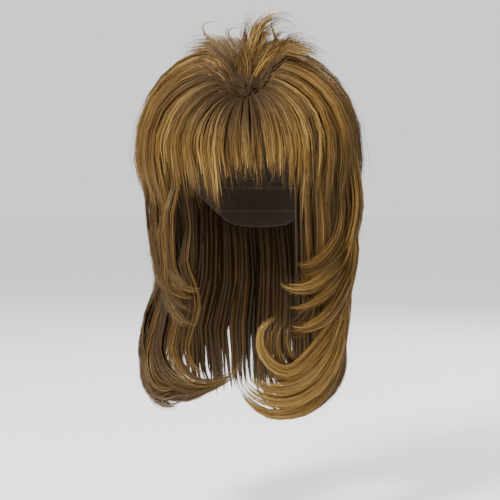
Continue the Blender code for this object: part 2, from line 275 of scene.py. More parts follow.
# The hanging hair: name, depth as a share of its length, then left, right, front and back half sizes as
# shares of the cap's.
COLUMN = (
    ("widest", 0.240, 1.160, 1.185, 0.93, 1.135),
    ("ear", 0.310, 1.130, 1.185, 0.91, 1.115),
    ("mouth", 0.405, 1.050, 1.160, 0.87, 1.030),
    ("chin", 0.490, 1.015, 1.130, 0.83, 0.970),
    ("waist", 0.580, 1.040, 1.160, 0.81, 0.950),
    ("throat", 0.665, 1.130, 1.250, 0.84, 0.970),
    ("bulge", 0.760, 1.355, 1.300, 0.89, 1.050),
    ("curls", 0.840, 1.340, 1.290, 0.91, 1.110),
    ("ends", 0.940, 1.180, 1.180, 0.88, 1.110),
)
WIDEST_Z = -COLUMN[0][1] * HAIR_LENGTH
# Each lock: name, where its turn starts as a share of the hair's length, shares of the curl radius, degrees
# that it turns, and degrees by which it heads away from straight outwards, towards the face.
LOWER_LEFT_LOCKS = (
    ("inner curl", 0.775, 0.85, 130, 105),
    ("middle curl", 0.795, 1.20, 145, 118),
    ("outer curl", 0.785, 1.35, 155, 130),
    ("shoulder curl", 0.800, 1.20, 95, 150),
    ("back corner", 0.840, 1.00, 60, 170),
)
LOWER_RIGHT_LOCKS = (
    ("short curl", 0.655, 0.75, 120, 105),
    ("ring curl", 0.775, 1.00, 232, 120),
    ("long curl", 0.830, 1.40, 200, 136),
    ("shoulder curl", 0.838, 1.40, 100, 152),
    ("back corner", 0.880, 1.20, 60, 170),
)
LOWER_BACK_LOCKS = (
    ("first", 0.890, 1.1, 45, 180),
    ("second", 0.930, 0.9, 45, 0),
    ("third", 0.905, 1.1, 40, 180),
    ("centre", 0.935, 0.9, 45, 0),
    ("fifth", 0.910, 1.1, 40, 180),
    ("sixth", 0.935, 0.9, 45, 0),
    ("seventh", 0.890, 1.1, 45, 180),
)


def column_point(angle, z, stand_off):
    """Point on the hanging hair at a height."""
    left, right, front, back = (between(-z / HAIR_LENGTH, COLUMN, column) for column in (2, 3, 4, 5))
    return ring(
        angle,
        right * CAP_HALF_WIDTH + stand_off,
        left * CAP_HALF_WIDTH + stand_off,
        front * CAP_FRONT + stand_off,
        back * CAP_BACK + stand_off,
        z,
    )


def weft_layer(root_share, stand_off):
    """Surface of the hair sewn to the cap at a share of the edge weft's depth. Past way 1 it hangs."""

    def seat(angle, z):
        """Point where the wefts lie, just off the cap."""
        across = cap_point(angle + STEP, z) - cap_point(angle - STEP, z)
        down = cap_point(angle, z - CAP_WALL) - cap_point(angle, z + CAP_WALL)
        return cap_point(angle, z) + down.cross(across).normalized() * ROOT_SEAT

    def surface(angle, way):
        root = (cap_edge(angle) + EDGE_WEFT_RISE) * root_share
        full = min(root - STAND_OUT, WIDEST_Z)
        if way >= 1:
            return column_point(angle, full - (way - 1), stand_off)
        z = root + (full - root) * way
        return seat(angle, z).lerp(column_point(angle, z, stand_off), ease(way) ** 0.6)

    return surface


def way_at(surface, angle, depth):
    """How far along a hanging surface a share of the hair's length lies."""
    return 1 + surface(angle, 1).z + depth * HAIR_LENGTH


def lay(surface, angle, way):
    """Point, sideways direction and outward direction on a surface of hair."""
    at = surface(angle, way)
    across = (surface(angle + STEP, way) - surface(angle - STEP, way)).normalized()
    down = surface(angle, way + STEP) - surface(angle, max(way - STEP, 0))
    return at, across, down.cross(across).normalized()


def root_share(way):
    """Share of its full thickness that a lock has on its way from the root."""
    return ROOT_THIN + (1 - ROOT_THIN) * ease(way / 0.5)


def turned_end(surface, angle, start, lock, hang, turns):
    """Frames of a lock below its split: along the surface, then round its curl.

    A lock of four columns turns straight up from its place on the surface.
    """
    if len(lock) == 4:
        turn_way, heading = lock[1], Vector((0, 0, 1))
    else:
        turn_way = way_at(surface, angle, lock[1])
        off_front = math.remainder(angle, math.tau)
        facing = (abs(off_front) - math.radians(lock[4])) * math.copysign(1, off_front)
        heading = Vector((math.sin(facing), -math.cos(facing), 0))
    radius, turn = lock[2] * CURL_RADIUS, math.radians(lock[3])
    centre = [surface(angle, start + (turn_way - start) * i / hang) for i in range(hang + 1)]
    end = centre[-1]
    along = (end - centre[-2]).normalized()
    side = (heading - along * heading.dot(along)).normalized()
    for i in range(1, turns + 1):
        a = turn * i / turns
        centre.append(end + radius * (side * (1 - math.cos(a)) + along * math.sin(a)))
    _, across, out = lay(surface, angle, start)
    frames = []
    for k, at in enumerate(centre):
        way = (centre[min(k + 1, len(centre) - 1)] - centre[max(k - 1, 0)]).normalized()
        across = (across - way * across.dot(way)).normalized()
        if k:
            out = way.cross(across)
            if out.dot(frames[-1][2]) < 0:
                out = -out
        frames.append((at, across, out))
    return frames


def lock_ways(surface, angle, ways, split):
    """Ways at which a lock lies on its layer. Split locks go on in steps to a share of the hair's length."""
    if not split:
        return ways
    depth, steps = split
    end = way_at(surface, angle, depth)
    return (*ways, *(1 + (end - 1) * j / steps for j in range(1, steps + 1)))


def lock_width(surface, centre, half, way):
    """Half width of a lock on its layer."""
    return (surface(centre + half, way) - surface(centre - half, way)).length / 2


def own_turn(lock, chance, loose, uneven, over):
    """A bundle's own length, radius, turn and heading, near its lock's. Some bundles hang over its end."""
    own = list(lock)
    own[1] += chance.uniform(-uneven, uneven * 0.6) * loose
    own[2] *= 1 + chance.uniform(-0.15, 0.13) * loose
    own[3] *= 1 + chance.uniform(-0.16, 0.12) * loose
    if len(own) == 5:
        own[4] += chance.uniform(-6, 6) * loose
    if over and chance.random() < OVERHANGING_SHARE:
        own[1] += over * chance.uniform(0.15, 1.0)
    return own


def height_in_lock(u, height, lift, thick):
    """Height of a bundle over its layer: on the ridged face of a lock, or on its underside."""
    if height > 0:
        return (LOCK_RIDGE * (0.74 - 0.30 * abs(u)) + lift) * thick * height
    return (LOCK_EDGE * height + lift) * thick


def waved(at, across, wave, roll):
    """Place moved sideways by the slow wave of the hanging hair."""
    return at + across * wave * math.sin(roll + at.z / WAVE_PITCH) * ease(-at.z / WAVE_FULL_AT)


def guide_lines(
    surface,
    span,
    locks,
    ways,
    rows,
    seed,
    split=None,
    loose=1.0,
    gather=1.0,
    drift=0.2,
    over=0.0,
    hang=3,
    turns=10,
    uneven=0.018,
    sway_of_layer=0.0,
    cover=1.0,
):
    """Guide lines of a layer: each lock is shared out into bundles, in rows from its face to its back.

    A row is (bundles, height). Loose bundles stray from their lock's own line, gathered ones meet at its
    tip, drifting ones slant across it, and some hang over its end by up to a share of the hair's length.
    A guide is (how much darker, length of hair above it, list of (place, half width, half thickness)), and
    the two halves are vectors.
    """
    chance = random.Random(seed)
    first, last = (math.radians(a) for a in span)
    half = (last - first) / len(locks) / 2
    guides = []

    def bundle_guide(lock, centre, attached, lean, count, j, height):
        """One bundle: on the layer down to the split, then free to its tip."""
        u = -1 + (2 * j + 1) / count + chance.uniform(-0.4, 0.4) / count
        bend = lean + chance.uniform(-drift, drift) * 0.7
        own = own_turn(lock, chance, loose, uneven, over)
        lift = chance.uniform(-0.0012, 0.0014)
        sway = chance.uniform(0.3, 1.0) * 0.0018 * loose
        phase = chance.uniform(0, math.tau)
        roll = 2.0 * centre + chance.uniform(-0.5, 0.5)
        wave = sway_of_layer * chance.uniform(0.6, 1.3)
        guide = []
        for way in attached:
            at, across, out = lay(surface, centre + half * (u + bend * ease(way)), way)
            at = waved(at, across, wave, roll)
            wide = lock_width(surface, centre, half, way) / count * cover
            thick = root_share(way)
            at = at + out * height_in_lock(u, height, lift, thick)
            guide.append((at, across * wide, out * BUNDLE_THICK * thick))
        start = attached[-1]
        frames = turned_end(surface, centre, start, own, hang, turns)
        full = lock_width(surface, centre, half, start)
        tip = len(frames) - 1
        for k, (at, across, out) in enumerate(frames):
            at = waved(at, across, wave, roll)
            left = 1 - gather * (k / tip) ** TAPER
            wide = LOCK_TIP + (full - LOCK_TIP) * left
            drifted = sway * math.sin(phase + 5 * k / len(frames)) * k / len(frames)
            at = at + across * ((u + bend) * wide + drifted)
            at = at + out * height_in_lock(u, height, lift, 0.3 + 0.7 * left)
            if k == 0:
                slip = guide[-1][0] - at
                continue
            side = across * max(wide / count * cover, BUNDLE_TIP_WIDE)
            rise = out * (BUNDLE_TIP_THICK + (BUNDLE_THICK - BUNDLE_TIP_THICK) * left)
            guide.append((at + slip * (1 - k / tip) ** 2, side, rise))
        return guide

    for i, lock in enumerate(locks):
        centre = first + half * (2 * i + 1)
        attached = lock_ways(surface, centre, ways, split)
        lean = chance.uniform(-drift, drift) * 0.25
        for count, height in rows:
            shade = 0.0 if height > 0 else UNDERSIDE_SHADE
            for j in range(count):
                guide = bundle_guide(lock, centre, attached, lean, count, j, height)
                guides.append((shade, 0.0, guide))
    return guides


MIDDLE_TONE = 0.5
TONE_SPREAD = 0.17
DARKEST = 0.06
PALEST = 0.94
FULL_LENGTH = 1.25 * HAIR_LENGTH


def guide_object(name, guides, seed, darker=0.0, begun=0.0):
    """Polylines with each point's half width, half thickness, share of the full length, and tone."""
    chance = random.Random(seed)
    places, edges, sides, rises, shares, tones = [], [], [], [], [], []
    for under, before, guide in guides:
        # Painted shade: under darkens bundles under a lock's face and locks that lie in shadow; below zero
        # it makes a lock paler.
        tone = min(max(chance.gauss(MIDDLE_TONE - darker - under, TONE_SPREAD), DARKEST), PALEST)
        reach = begun + before
        for k, (at, side, rise) in enumerate(guide):
            if k:
                edges.append((len(places) - 1, len(places)))
                reach += (at - guide[k - 1][0]).length
            places.append(at)
            sides.extend(side)
            rises.extend(rise)
            shares.append(reach / FULL_LENGTH)
            tones.append(tone)
    mesh = bpy.data.meshes.new(name)
    mesh.from_pydata(places, edges, [])
    for key, kind, field, values in (
        ("side", "FLOAT_VECTOR", "vector", sides),
        ("rise", "FLOAT_VECTOR", "vector", rises),
        ("share", "FLOAT", "value", shares),
        ("tone", "FLOAT", "value", tones),
    ):
        mesh.attributes.new(key, kind, "POINT").data.foreach_set(field, values)
    made = bpy.data.objects.new(name, mesh)
    bpy.context.collection.objects.link(made)
    return made


def hair_tree():
    """Node tree that grows fibre bundles and loose fibres along guide lines."""
    tree = bpy.data.node_groups.new("hair along guides", "GeometryNodeTree")
    plus, minus, times, power = plain_sums(tree)
    face = tree.interface
    face.new_socket("Geometry", in_out="INPUT", socket_type="NodeSocketGeometry")
    for name, kind, value in (
        ("Fibres", "NodeSocketInt", 14),
        ("Fibre width", "NodeSocketFloat", 0.0009),
        ("Shortest", "NodeSocketFloat", 0.8),
        ("Bundle end", "NodeSocketFloat", 0.92),
        ("Open tip", "NodeSocketFloat", 0.0015),
        ("Frizz", "NodeSocketFloat", 0.002),
        ("Stray share", "NodeSocketFloat", 0.06),
        ("Stray reach", "NodeSocketFloat", 0.012),
        ("Bundles", "NodeSocketBool", True),
        ("Seed", "NodeSocketInt", 0),
        ("Material", "NodeSocketMaterial", None),
    ):
        socket = face.new_socket(name, in_out="INPUT", socket_type=kind)
        if value is not None:
            socket.default_value = value
    face.new_socket("Geometry", in_out="OUTPUT", socket_type="NodeSocketGeometry")
    given = tree.nodes.new("NodeGroupInput").outputs
    lines = add(tree, "GeometryNodeMeshToCurve", {0: given["Geometry"]}).outputs[0]

    def stored(name, kind="FLOAT"):
        """Value that the guide lines carry."""
        return add(tree, "GeometryNodeInputNamedAttribute", {"Name": name}, data_type=kind).outputs[0]

    def store(geometry, name, value, kind="FLOAT", domain="POINT"):
        """Geometry with a value put on it by name."""
        sockets = {0: geometry, "Name": name, "Value": value}
        made = add(tree, "GeometryNodeStoreNamedAttribute", sockets, data_type=kind, domain=domain)
        return made.outputs[0]

    def vectors(operation, *values, **named):
        """Result of a vector maths node."""
        made = add(tree, "ShaderNodeVectorMath", {**dict(enumerate(values)), **named}, operation=operation)
        return made.outputs["Value" if operation == "LENGTH" else "Vector"]

    def per_line(number, low, high):
        """One random value for a whole fibre or bundle. Each use has its own number."""
        seed = plus(given["Seed"], float(number * 101))
        value = add(tree, "FunctionNodeRandomValue", {2: low, 3: high, "Seed": seed}, data_type="FLOAT")
        spread = {0: value.outputs[1]}
        return add(tree, "GeometryNodeFieldOnDomain", spread, domain="CURVE", data_type="FLOAT").outputs[0]

    def profile(sides, thin, wide):
        """Flat outline, whose thin way faces out of the head."""
        size = {"Resolution": sides, "Radius": 1.0}
        circle = add(tree, "GeometryNodeCurvePrimitiveCircle", size, mode="RADIUS")
        place = tree.nodes.new("GeometryNodeInputPosition").outputs[0]
        flat = vectors("MULTIPLY", place, (thin, wide, 1.0))
        shaped = add(tree, "GeometryNodeSetPosition", {0: circle.outputs[0], "Position": flat})
        around = tree.nodes.new("GeometryNodeSplineParameter").outputs[0]
        return store(shaped.outputs[0], "around", around)

    def swept(curves, outline, size):
        """Closed mesh of an outline carried along curves."""
        sockets = {"Curve": curves, "Profile Curve": outline, "Scale": size, "Fill Caps": True}
        return add(tree, "GeometryNodeCurveToMesh", sockets).outputs[0]

    def mapped(mesh, spread):
        """Lays the faces out by tone and by distance from the root."""
        tone = plus(stored("tone"), times(stored("around"), spread))
        spot = add(tree, "ShaderNodeCombineXYZ", {0: tone, 1: stored("share")}).outputs[0]
        return store(mesh, "OFBake", spot, kind="FLOAT2", domain="CORNER")

    side, rise, share = stored("side", "FLOAT_VECTOR"), stored("rise", "FLOAT_VECTOR"), stored("share")
    factor = tree.nodes.new("GeometryNodeSplineParameter").outputs[0]

    # Bundles: flat strands as wide as their guide, which close the layer.
    cut = add(tree, "GeometryNodeTrimCurve", {0: lines}, mode="FACTOR")
    tree.links.new(minus(given["Bundle end"], per_line(9, 0.0, 0.08)), cut.inputs["End"])
    facing = add(tree, "GeometryNodeSetCurveNormal", {0: cut.outputs[0], "Normal": rise}, mode="FREE")
    narrow = minus(1.0, power(factor, 6.0))
    size = times(vectors("LENGTH", side), times(narrow, 1.12))
    size = plus(size, 0.00015)
    bundle = swept(facing.outputs[0], profile(sides=6, thin=0.32, wide=1.15), size)
    kept = add(tree, "GeometryNodeSwitch", {0: given["Bundles"], 2: bundle}, input_type="GEOMETRY")
    bundles = mapped(kept.outputs[0], 0.05)

    # Fibres: fine strands over the bundles, cut to different lengths, with ruffled and straying ends.
    copied = {0: lines, "Amount": given["Fibres"]}
    copies = add(tree, "GeometryNodeDuplicateElements", copied, domain="SPLINE")
    trim = add(tree, "GeometryNodeTrimCurve", {0: copies.outputs[0]}, mode="FACTOR")
    tree.links.new(per_line(1, given["Shortest"], 1.0), trim.inputs["End"])
    sideways, upright = per_line(2, -1.3, 1.3), per_line(3, -0.2, 1.9)
    far = power(share, 1.4)
    tip = times(given["Open tip"], power(factor, 2.0))
    across, out = vectors("NORMALIZE", side), vectors("NORMALIZE", rise)
    offset = vectors("ADD", vectors("SCALE", side, Scale=sideways), vectors("SCALE", rise, Scale=upright))
    loose_side = vectors("SCALE", across, Scale=times(tip, per_line(4, -1.0, 1.0)))
    loose_out = vectors("SCALE", out, Scale=times(tip, per_line(5, -0.6, 1.0)))
    offset = vectors("ADD", offset, vectors("ADD", loose_side, loose_out))
    place = tree.nodes.new("GeometryNodeInputPosition").outputs[0]
    ripples = {"Vector": place, "W": per_line(6, 0.0, 3.0), "Scale": 22.0, "Detail": 1.0}
    noise = add(tree, "ShaderNodeTexNoise", ripples, noise_dimensions="4D")
    wave = vectors("SUBTRACT", noise.outputs["Color"], (0.5, 0.5, 0.5))
    ruffle = times(given["Frizz"], plus(far, 0.10))
    offset = vectors("ADD", offset, vectors("SCALE", wave, Scale=times(ruffle, 4.0)))
    is_stray = sums(tree, "LESS_THAN", per_line(7, 0.0, 1.0), given["Stray share"])
    astray = times(is_stray, times(given["Stray reach"], factor))
    astray = times(astray, factor)
    drift = add(tree, "ShaderNodeCombineXYZ", {0: per_line(11, -1.0, 1.0), 1: per_line(12, -1.0, 1.0)})
    tree.links.new(per_line(13, -0.6, 1.0), drift.inputs[2])
    offset = vectors("ADD", offset, vectors("SCALE", drift.outputs[0], Scale=astray))
    moved = add(tree, "GeometryNodeSetPosition", {0: trim.outputs[0], "Offset": offset})
    turned = vectors("ADD", out, vectors("SCALE", across, Scale=per_line(8, -0.7, 0.7)))
    faced = add(tree, "GeometryNodeSetCurveNormal", {0: moved.outputs[0], "Normal": turned}, mode="FREE")
    toned = plus(stored("tone"), per_line(14, -0.16, 0.16))
    toned = sums(tree, "MINIMUM", sums(tree, "MAXIMUM", toned, 0.01), 0.97)
    named = store(faced.outputs[0], "tone", toned)
    taper = minus(1.0, power(factor, 3.0))
    thin = times(given["Fibre width"], per_line(10, 0.3, 0.62))
    thin = times(thin, minus(1.0, times(is_stray, 0.6)))
    thick = plus(times(thin, taper), 0.00003)
    fibres = mapped(swept(named, profile(sides=3, thin=0.55, wide=1.0), thick), 0.012)

    both = tree.nodes.new("GeometryNodeJoinGeometry")
    tree.links.new(bundles, both.inputs[0])
    tree.links.new(fibres, both.inputs[0])
    smooth = add(tree, "GeometryNodeSetShadeSmooth", {0: both.outputs[0], "Shade Smooth": True})
    real = add(tree, "GeometryNodeRealizeInstances", {0: smooth.outputs[0]})
    painted = add(tree, "GeometryNodeSetMaterial", {0: real.outputs[0], "Material": given["Material"]})
    add(tree, "NodeGroupOutput", {0: painted.outputs[0]})
    return tree


HAIR_TREE = hair_tree()

HAIR_STOPS = (
    (0.26, (0.011, 0.0048, 0.0014, 1)),
    (0.48, (0.045, 0.0205, 0.0042, 1)),
    (0.72, (0.150, 0.078, 0.0152, 1)),
    (1.00, (0.480, 0.305, 0.092, 1)),
)
ROOT_COLOUR = (0.020, 0.0085, 0.0028, 1)
TONE_PART = 0.46
BROAD_PART = 0.34
STREAK_PART = 0.40


def hair_colour(name, root_end, golden, seed, deep=0.0):
    """Fine synthetic fibre: dark at the root, honey brown down its length, paler in some strands.

    The root's shade ends at a share of the hair's length. Golden hair grows lighter towards its ends; golden
    below zero paints shade that darkens it along its length. Deep is painted shade that darkens the hair all
    over, for hair that lies in shadow; deep below zero makes it paler.
    """
    material = bpy.data.materials.new(name)
    material.use_nodes = True
    tree = material.node_tree
    plus, minus, times, _ = plain_sums(tree)
    shader = tree.nodes["Principled BSDF"]
    place = add(tree, "ShaderNodeUVMap", uv_map="OFBake").outputs[0]
    spot = add(tree, "ShaderNodeSeparateXYZ", {0: place})
    tone, share = spot.outputs[0], spot.outputs[1]

    def strands(across, along, offset, detail):
        """Stripes that run down the hair."""
        spread = add(tree, "ShaderNodeCombineXYZ", {0: times(tone, across), 2: offset})
        tree.links.new(times(share, along), spread.inputs[1])
        noise = {"Vector": spread.outputs[0], "Scale": 1.0, "Detail": detail}
        return add(tree, "ShaderNodeTexNoise", noise).outputs[0]

    streak = strands(across=320.0, along=5.0, offset=float(seed), detail=2.0)
    broad = strands(across=26.0, along=2.2, offset=float(seed) + 7.0, detail=1.0)
    light = plus(times(tone, TONE_PART), times(broad, BROAD_PART))
    light = plus(light, times(streak, STREAK_PART))
    # Golden lightens the ends, and below zero it paints shade along the length. Deep paints shade on the
    # whole material.
    light = plus(light, times(share, golden))
    light = minus(light, deep)
    ramp = add(tree, "ShaderNodeValToRGB", {0: light})
    stops = ramp.color_ramp.elements
    stops[0].position, stops[0].color = HAIR_STOPS[0]
    stops[1].position, stops[1].color = HAIR_STOPS[-1]
    for at, colour in HAIR_STOPS[1:-1]:
        stops.new(at).color = colour
    limits = {"Value": share, "From Min": root_end * 0.15, "From Max": root_end}
    root = add(tree, "ShaderNodeMapRange", limits, interpolation_type="SMOOTHSTEP")
    shade = add(tree, "ShaderNodeMix", {0: root.outputs[0], 7: ramp.outputs[0]}, data_type="RGBA")
    shade.inputs[6].default_value = ROOT_COLOUR
    tree.links.new(shade.outputs[2], shader.inputs["Base Color"])
    dull = times(minus(1.0, root.outputs[0]), 0.35)
    rough = plus(dull, plus(0.32, times(streak, 0.16)))
    tree.links.new(rough, shader.inputs["Roughness"])
    ripple = add(tree, "ShaderNodeBump", {"Strength": 0.35, "Distance": 0.0004, "Height": streak})
    tree.links.new(ripple.outputs[0], shader.inputs["Normal"])
    shader.inputs["Specular IOR Level"].default_value = 0.4
    shader.inputs["Specular Tint"].default_value = (1.0, 0.84, 0.58, 1)
    return material


def grow(name, guides, material, seed, darker=0.0, begun=0.0, **choices):
    """Hair piece: the tree is run on its guide lines and its plain mesh kept."""
    lines = guide_object(name + " guides", guides, seed, darker, begun)
    grown = lines.modifiers.new("hair", "NODES")
    grown.node_group = HAIR_TREE
    values = {"Seed": seed, "Material": material, **choices}
    for socket in HAIR_TREE.interface.items_tree:
        if socket.in_out == "INPUT" and socket.name in values:
            grown[socket.identifier] = values[socket.name]
    depsgraph = bpy.context.evaluated_depsgraph_get()
    mesh = bpy.data.meshes.new_from_object(lines.evaluated_get(depsgraph), depsgraph=depsgraph)
    bpy.data.objects.remove(lines)
    for extra in ("side", "rise", "share", "tone", "around"):
        if extra in mesh.attributes:
            mesh.attributes.remove(mesh.attributes[extra])
    mesh.name = name
    piece = bpy.data.objects.new(name, mesh)
    bpy.context.collection.objects.link(piece)
    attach(piece, "root")
    return piece


LOWER = weft_layer(1.0, 0.0)
WEFT_WAYS = (0.0, 0.12, 0.4, 1.0)
# Painted shade: deep darkens the lower layer's hair all over, because it hangs in shadow under the layers
# above.
LONG_HAIR = hair_colour("long hair", 0.10, 0.14, 3, deep=0.20)
LOWER_ROWS = ((9, 1.0), (7, -0.6))
LOWER_LIE = {"loose": 0.35, "drift": 0.15, "hang": 2, "turns": 9, "sway_of_layer": 0.0025}
LOWER_CUT = {"Shortest": 0.90, "Bundle end": 0.99, "Frizz": 0.0014, "Open tip": 0.0015}
CURLED = {"split": (0.580, 3), "gather": 0.5, "uneven": 0.012, "cover": 1.15}
HANGING = {"split": (0.620, 4), "gather": 0.10, "uneven": 0.03, "cover": 1.5}
for name, span, locks, lie, fibres, seed in (
    ("lower_layer_left", (-BACK_CORNER, -LOWER_FRONT), LOWER_LEFT_LOCKS[::-1], CURLED, 8, 11),
    ("lower_layer_right", (LOWER_FRONT, BACK_CORNER), LOWER_RIGHT_LOCKS, CURLED, 8, 12),
    ("lower_layer_back", (BACK_CORNER, 360 - BACK_CORNER), LOWER_BACK_LOCKS, HANGING, 4, 13),
):
    guides = guide_lines(LOWER, span, locks, WEFT_WAYS, LOWER_ROWS, seed, **LOWER_LIE, **lie)
    hair = grow("hair_" + name, guides, LONG_HAIR, seed, Fibres=fibres, **LOWER_CUT)
    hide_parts(name)


BEHIND_BROW = -88
TUCK_RISE = 32
TUCK_STEP = 34
FACE_REACH = FRINGE_REACH + 7
HAND_ROW_RISE = 0.003
HAND_BOW = 0.0022
HAND_THICK = 0.0009
HAND_THINNEST = 0.0005
HAND_SHADE = 0.18


def smooth_line(points, steps):
    """Smooth line through points in millimetres, with a number of steps from each to the next."""
    ends = [Vector(point) / 1000 for point in points]
    ends = [ends[0] * 2 - ends[1], *ends, ends[-1] * 2 - ends[-2]]
    line = []
    for a, b, c, d in zip(ends, ends[1:], ends[2:], ends[3:]):
        for k in range(steps):
            t = k / steps
            bent = (2 * a - 5 * b + 4 * c - d) * t**2
            eased = (3 * b - a - 3 * c + d) * t**3
            line.append(0.5 * (2 * b + (c - a) * t + bent + eased))
    return [*line, ends[-2]]


def set_lock(half_width, points, rows, seed, gather=0.85, steps=2, loose=1.0, under=0.0):
    """Guide lines of one lock that follows a smooth line through given points in millimetres."""
    chance = random.Random(seed)
    line = smooth_line(points, steps)
    guides = []
    last = len(line) - 1
    for count, height in rows:
        for j in range(count):
            u = -1 + (2 * j + 1) / count + chance.uniform(-0.4, 0.4) / count
            stop = last - (chance.randint(0, 2) if loose and last > 8 else 0)
            lift = chance.uniform(-0.0008, 0.0012) * loose
            bow = chance.uniform(-1, 1) * HAND_BOW * loose
            phase = chance.uniform(0, 1.5)
            guide = []
            for k in range(stop + 1):
                at = line[k]
                along = (line[min(k + 1, last)] - line[max(k - 1, 0)]).normalized()
                out = Vector((at.x, at.y * 1.3, 0.0 if at.z < 0 else at.z))
                out = (out - along * out.dot(along)).normalized()
                across = along.cross(out)
                t = k / stop
                wide = half_width / 1000 * min(1, 0.6 + 1.6 * t) * (1 - gather * t**2.4)
                at = at + across * (u * wide + bow * math.sin(math.pi * t + phase))
                at = at + out * (height * HAND_ROW_RISE + lift)
                guide.append((at, across * max(wide / count, HAND_THINNEST), out * HAND_THICK))
            # Painted shade: the rows under the lock's face are coloured darker by HAND_SHADE, added to the
            # lock's own darkness.
            guides.append((under + (0.0 if height > 0 else HAND_SHADE), 0.0, guide))
    return guides


def tucked(points, stand_off):
    """A listed lock starts under the hair above it and comes down on its own layer."""
    x, y, z = points[0]
    angle = math.atan2(x, -y)
    beside_face = abs(angle) < math.radians(FACE_REACH)
    rise = BEHIND_BROW - z if beside_face else TUCK_RISE
    steps = max(round(rise / TUCK_STEP), 1)
    heights = [z + rise * (1 - k / steps) for k in range(steps)]
    return (*(column_point(angle, height / 1000, stand_off) * 1000 for height in heights), *points)


def set_locks(locks, rows, seed, stand_off=None, **shape):
    """Guide lines of a group of listed locks, tucked under the hair above where a layer is given."""
    guides = []
    for number, (half_width, under, points) in enumerate(locks):
        line = points if stand_off is None else tucked(points, stand_off)
        guides += set_lock(half_width, line, rows, seed * 10 + number, under=under, **shape)
    return guides


# Each listed lock: half width in millimetres, how much darker, and its points in millimetres.
# The second column is painted shade where it is above zero: locks in shadow, such as the swept locks inside
# their curl, are coloured darker. Below zero a lock is coloured paler.
SWEEP_LEFT = (
    (10, 0.36, (
        (-91, -15, -167), (-90, -14, -193), (-92, -14, -219), (-102, -14, -245), (-104, -25, -275),
        (-95, -35, -302), (-73, -57, -318), (-47, -75, -320), (-22, -85, -310), (-1, -88, -299),
        (9, -88, -288), (12, -87, -277),
    )),
    (10, 0.4, (
        (-81, -21, -166), (-74, -40, -194), (-72, -49, -222), (-77, -56, -251), (-80, -59, -276),
        (-70, -65, -298), (-53, -74, -309), (-33, -82, -310), (-11, -87, -303), (4, -88, -292),
        (11, -87, -283),
    )),
    (9, 0.3, (
        (-63, -56, -170), (-55, -62, -200), (-51, -68, -225), (-56, -70, -250), (-60, -72, -273),
        (-53, -77, -290), (-40, -81, -302), (-24, -85, -304), (-7, -87, -299), (7, -88, -289),
    )),
    (6, 0.18, (
        (-52, -66, -187), (-43, -71, -210), (-38, -75, -232), (-44, -77, -254), (-47, -78, -272),
        (-41, -82, -287), (-29, -85, -296), (-15, -87, -299),
    )),
    (5, 0.24, (
        (-92, -15, -177), (-89, -14, -203), (-95, -14, -235), (-105, -15, -262), (-108, -15, -284),
        (-101, -18, -309), (-77, -50, -321), (-50, -71, -322),
    )),
)
# The ring curl and the long curls in front of the right shoulder, in the same columns.
CURLS_RIGHT = (
    (7, 0.0, (
        (111, -15, -161), (111, -14, -188), (105, -14, -217), (96, -31, -241), (83, -52, -264),
        (68, -66, -283), (52, -76, -293), (37, -82, -285), (28, -83, -269), (29, -81, -252),
        (39, -77, -242), (46, -74, -238),
    )),
    (9, 0.02, (
        (105, -14, -188), (104, -14, -215), (103, -14, -242), (98, -19, -277), (89, -34, -307),
        (75, -53, -328), (56, -70, -336), (35, -80, -335), (18, -84, -324), (9, -86, -309), (6, -88, -295),
    )),
    (9, -0.1, (
        (101, -14, -196), (100, -14, -223), (99, -14, -249), (96, -34, -278), (84, -48, -303),
        (67, -62, -318), (50, -73, -323), (32, -81, -320), (19, -85, -312), (12, -87, -301), (8, -88, -289),
    )),
    (8, -0.16, (
        (97, -14, -206), (99, -16, -229), (97, -30, -253), (90, -44, -277), (78, -57, -297),
        (62, -68, -308), (46, -77, -311), (30, -83, -307), (18, -86, -298), (15, -87, -288),
    )),
    (4, 0.05, (
        (106, -14, -188), (104, -14, -227), (101, -15, -267), (93, -20, -304), (80, -43, -325),
        (64, -62, -335), (46, -74, -339),
    )),
    (6, -0.08, (
        (101, -14, -227), (97, -29, -248), (88, -47, -270), (74, -62, -287), (58, -72, -298),
        (43, -80, -298), (32, -84, -289),
    )),
    (5, 0.1, ((103, -14, -217), (101, -15, -252), (97, -15, -286), (90, -22, -312), (78, -44, -327))),
)
CURL_CUT = {"Fibres": 8, "Shortest": 0.88, "Bundle end": 0.98, "Frizz": 0.0012, "Open tip": 0.0015}
CURLED_HAIR = hair_colour("curled ends", 0.02, 0.24, 4, deep=0.10)
# Painted shade: the swept hair is a darker copy of the curled ends, for the left locks that lie in shadow
# inside their curl.
SHADED_SWEPT_HAIR = hair_colour("shaded swept hair", 0.02, 0.46, 4, deep=0.41)
for name, node, locks, finish, seed in (
    ("sweep_left", "lower_layer_left", SWEEP_LEFT, SHADED_SWEPT_HAIR, 14),
    ("curls_right", "lower_layer_right", CURLS_RIGHT, CURLED_HAIR, 15),
):
    guides = set_locks(locks, ((6, 0.8), (4, -0.6)), seed, stand_off=0.002)
    hair = grow("hair_" + name, guides, finish, seed, begun=0.2, **CURL_CUT)
    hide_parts(node)


